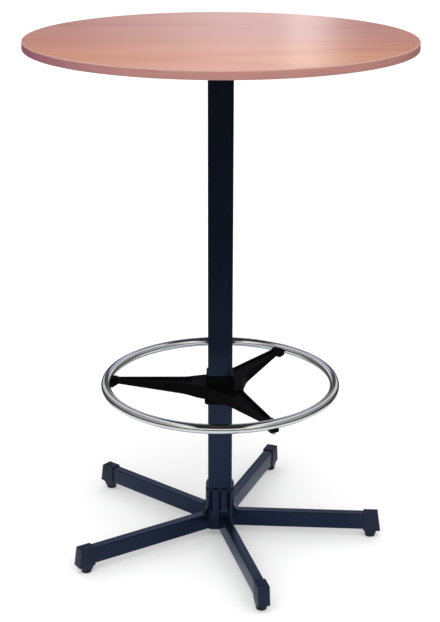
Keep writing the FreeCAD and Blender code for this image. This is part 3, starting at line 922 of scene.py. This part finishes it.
for node, material in (("top_laminate", laminate), ("top_core", backing), ("top_spigot", plate_coat),
                       ("tie_rod", zinc), ("clamp_tip", tip_nylon), ("clamp_screw", black_oxide)):
    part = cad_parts[node]
    if not part.data.materials:
        part.data.materials.append(material)
    for holder in part.material_slots:
        holder.material = material


# ---- Floor, light and camera --------------------------------------------------------------------

floor_size = 60.0
floor_white = 0.92
floor_glow = 0.16
paper_reach = 2.0
dome_strength = 1.68
cool = (0.85, 0.92, 1.35)


def seen_by_eye(tree):
    """The kinds of ray, and 1 for one from the camera or one that glass passes on."""
    path = tree.nodes.new("ShaderNodeLightPath").outputs
    return path, worked_out(tree, "MAXIMUM", path["Is Camera Ray"], path["Is Transmission Ray"])


def one_or_other(tree, factor, first, second):
    """The first shader where the factor is 0, and the second where it is 1."""
    node = tree.nodes.new("ShaderNodeMixShader")
    tree.links.new(factor, node.inputs["Fac"])
    tree.links.new(first, node.inputs[1])
    tree.links.new(second, node.inputs[2])
    return node.outputs["Shader"]


def make_floor():
    """A pale floor that shows white where it is lit, and from below isn't there. What shines shows
    white paper instead, with a painted shadow under the table's middle, darkening behind it and far out."""
    put_down()
    bpy.ops.mesh.primitive_plane_add(size=floor_size, location=(0.0, 0.0, 0.0))
    floor = named("studio_floor")
    material, tree, shader, place = surface("studio_floor_white")
    shader.inputs["Base Color"].default_value = (floor_white, floor_white, floor_white, 1.0)
    shader.inputs["Roughness"].default_value = 0.9
    shader.inputs["Specular IOR Level"].default_value = 0.0
    path, eye = seen_by_eye(tree)
    glow = tree.nodes.new("ShaderNodeEmission")
    tree.links.new(worked_out(tree, "MULTIPLY", eye, floor_glow), glow.inputs["Strength"])
    lit = tree.nodes.new("ShaderNodeAddShader")
    tree.links.new(shader.outputs["BSDF"], lit.inputs[0])
    tree.links.new(glow.outputs["Emission"], lit.inputs[1])
    away = tree.nodes.new("ShaderNodeVectorMath")
    away.operation = "LENGTH"
    tree.links.new(place, away.inputs[0])
    reach = spread(tree, away.outputs["Value"], 0.0, 1.0, end=paper_reach)
    # Painted shadow: the paper seen in reflections is darker close under the table's middle.
    paper_tones_painted_shadow = steps(tree, reach, (0.04, (0.29, 0.32, 0.40)), (0.09, (0.56, 0.58, 0.70)),
                  (0.14, (0.62, 0.64, 0.75)), (0.20, 0.92), (0.34, 0.92), (0.46, 0.58), (0.74, 0.14),
                  (1.0, 0.02))
    paper = tree.nodes.new("ShaderNodeEmission")
    tree.links.new(paper_tones_painted_shadow, paper.inputs["Color"])
    tree.links.new(spread(tree, axes(tree, place)["Y"], 1.0, 0.35, start=0.22, end=0.42),
                   paper.inputs["Strength"])
    above = one_or_other(tree, path["Is Glossy Ray"], lit.outputs["Shader"], paper.outputs["Emission"])
    gone = tree.nodes.new("ShaderNodeBsdfTransparent")
    side = tree.nodes.new("ShaderNodeNewGeometry")
    whole = one_or_other(tree, side.outputs["Backfacing"], above, gone.outputs["BSDF"])
    tree.links.new(whole, tree.nodes["Material Output"].inputs["Surface"])
    floor.data.materials.append(material)


def make_surroundings():
    """White all round for the eye. The object is lit by a soft dome, brightest high up in front and
    dimmer behind, at the sides and low down. What shines shows a room of its own: in front white with
    a dark panel overhead, and behind the table dark between white sides, with a lit piece of wall
    and a cool shelf of light above it. All of that room is dimmer at its far sides."""
    world = bpy.data.worlds.new("studio_surroundings")
    bpy.context.scene.world = world
    world.use_nodes = True
    tree = world.node_tree
    direction = axes(tree, tree.nodes.new("ShaderNodeTexCoord").outputs["Generated"])

    def over(axis, low, high, *stops):
        """A tone that changes along one axis of the direction."""
        return steps(tree, spread(tree, direction[axis], 0.0, 1.0, start=low, end=high), *stops)

    front_light = over("Y", -1.0, 1.0, (0.00, 1.5), (0.50, 1.0), (1.00, 0.4))
    side_shade = over("X", -1.0, 1.0, (0.00, 0.25), (0.50, 1.0), (1.00, 0.25))
    low_shade = over("Z", 0.0, 1.0, (0.00, 0.4), (0.50, 1.0))
    dome = times(tree, front_light, side_shade, low_shade)

    strip = over("X", -0.5, 0.5, (0.00, 0.75), (0.10, 0.75), (0.32, 0.02), (0.68, 0.02), (0.90, 0.75))
    wide = over("X", -0.5, 0.5, (0.00, 0.95), (0.10, 0.95), (0.20, 0.02), (0.80, 0.02), (0.90, 0.95))
    raised = over("Z", 0.0, 1.0, (0.42, 0.0), (0.50, 1.0))
    low = over("Z", 0.0, 1.0, (0.00, 0.30), (0.05, 0.30), (0.14, 1.0))
    dark_room = times(tree, mixed(tree, raised, strip, wide), low)

    wall = over("X", -0.20, 0.24, (0.00, 0.0), (0.20, 0.06), (0.36, 0.36), (0.45, 0.58), (0.560, 0.62),
                (0.575, 1.20), (0.615, 0.88), (0.65, 0.22), (0.69, 0.02), (0.78, 0.0))
    behind = over("Y", 0.0, 1.0, (0.55, 0.0), (0.90, 1.0))
    rise = over("Z", 0.0, 1.0, (0.02, 1.0), (0.16, 1.0), (0.42, 0.0))
    lit_wall = times(tree, wall, behind, rise)

    shelf = over("Z", 0.0, 1.0, (0.40, 0.0), (0.46, cool), (0.58, cool), (0.64, 0.0))
    middle = over("X", -1.0, 1.0, (0.40, 0.0), (0.43, 1.0), (0.57, 1.0), (0.60, 0.0))
    ahead = mixed(tree, 1.0, mixed(tree, 1.0, dark_room, lit_wall, "ADD"), times(tree, shelf, middle), "ADD")

    bright = over("Z", 0.0, 1.0, (0.00, 0.70), (0.30, 1.05), (1.00, 1.10))
    high = over("Z", 0.0, 1.0, (0.36, 0.0), (0.46, 1.0))
    in_front = mixed(tree, high, bright, wide)
    facing = over("Y", -0.10, 0.10, (0.0, 0.0), (1.0, 1.0))
    flanks = over("X", -1.0, 1.0, (0.00, 0.35), (0.15, 0.45), (0.25, 1.0), (0.75, 1.0), (0.85, 0.45),
                  (1.00, 0.35))
    room = times(tree, mixed(tree, facing, in_front, ahead), flanks)

    light = tree.nodes["Background"]
    light.inputs["Strength"].default_value = dome_strength
    tree.links.new(dome, light.inputs["Color"])
    shine = tree.nodes.new("ShaderNodeBackground")
    tree.links.new(room, shine.inputs["Color"])
    white = tree.nodes.new("ShaderNodeBackground")
    white.inputs["Color"].default_value = (1.0, 1.0, 1.0, 1.0)
    path, eye = seen_by_eye(tree)
    lit = one_or_other(tree, path["Is Glossy Ray"], light.outputs["Background"], shine.outputs["Background"])
    tree.links.new(one_or_other(tree, eye, lit, white.outputs["Background"]),
                   tree.nodes["World Output"].inputs["Surface"])


def softbox(name, place, target, width, height, power):
    """A rectangular studio light, aimed at a point."""
    data = bpy.data.lights.new(name, "AREA")
    data.shape = "RECTANGLE"
    data.size = width
    data.size_y = height
    data.energy = power
    lamp = bpy.data.objects.new(name, data)
    bpy.context.collection.objects.link(lamp)
    lamp.location = place
    aim = Vector(target) - Vector(place)
    lamp.rotation_euler = aim.to_track_quat("-Z", "Y").to_euler()
    lamp.visible_glossy = False


make_floor()
make_surroundings()
softbox("overhead_softbox", (0.1, -0.6, 3.4), (0.0, 0.0, 0.9), width=2.2, height=1.8, power=13.0)
softbox("right_softbox", (3.0, -1.2, 1.6), (0.0, 0.0, 0.6), width=1.4, height=2.2, power=2.5)

camera_data = bpy.data.cameras.new("eye")
camera_data.sensor_width = 36.0
camera_data.lens = 78.93
camera_data.clip_end = 100.0
camera = bpy.data.objects.new("eye", camera_data)
bpy.context.collection.objects.link(camera)
camera_place = (-0.0007, -2.606, 1.427)
look_down = 0.3418
camera_roll = 0.0022
camera.matrix_world = (Matrix.Translation(camera_place)
                       @ Matrix.Rotation(math.pi / 2 - look_down, 4, "X")
                       @ Matrix.Rotation(camera_roll, 4, "Z"))
bpy.context.scene.camera = camera

bpy.context.scene.view_settings.view_transform = "Standard"
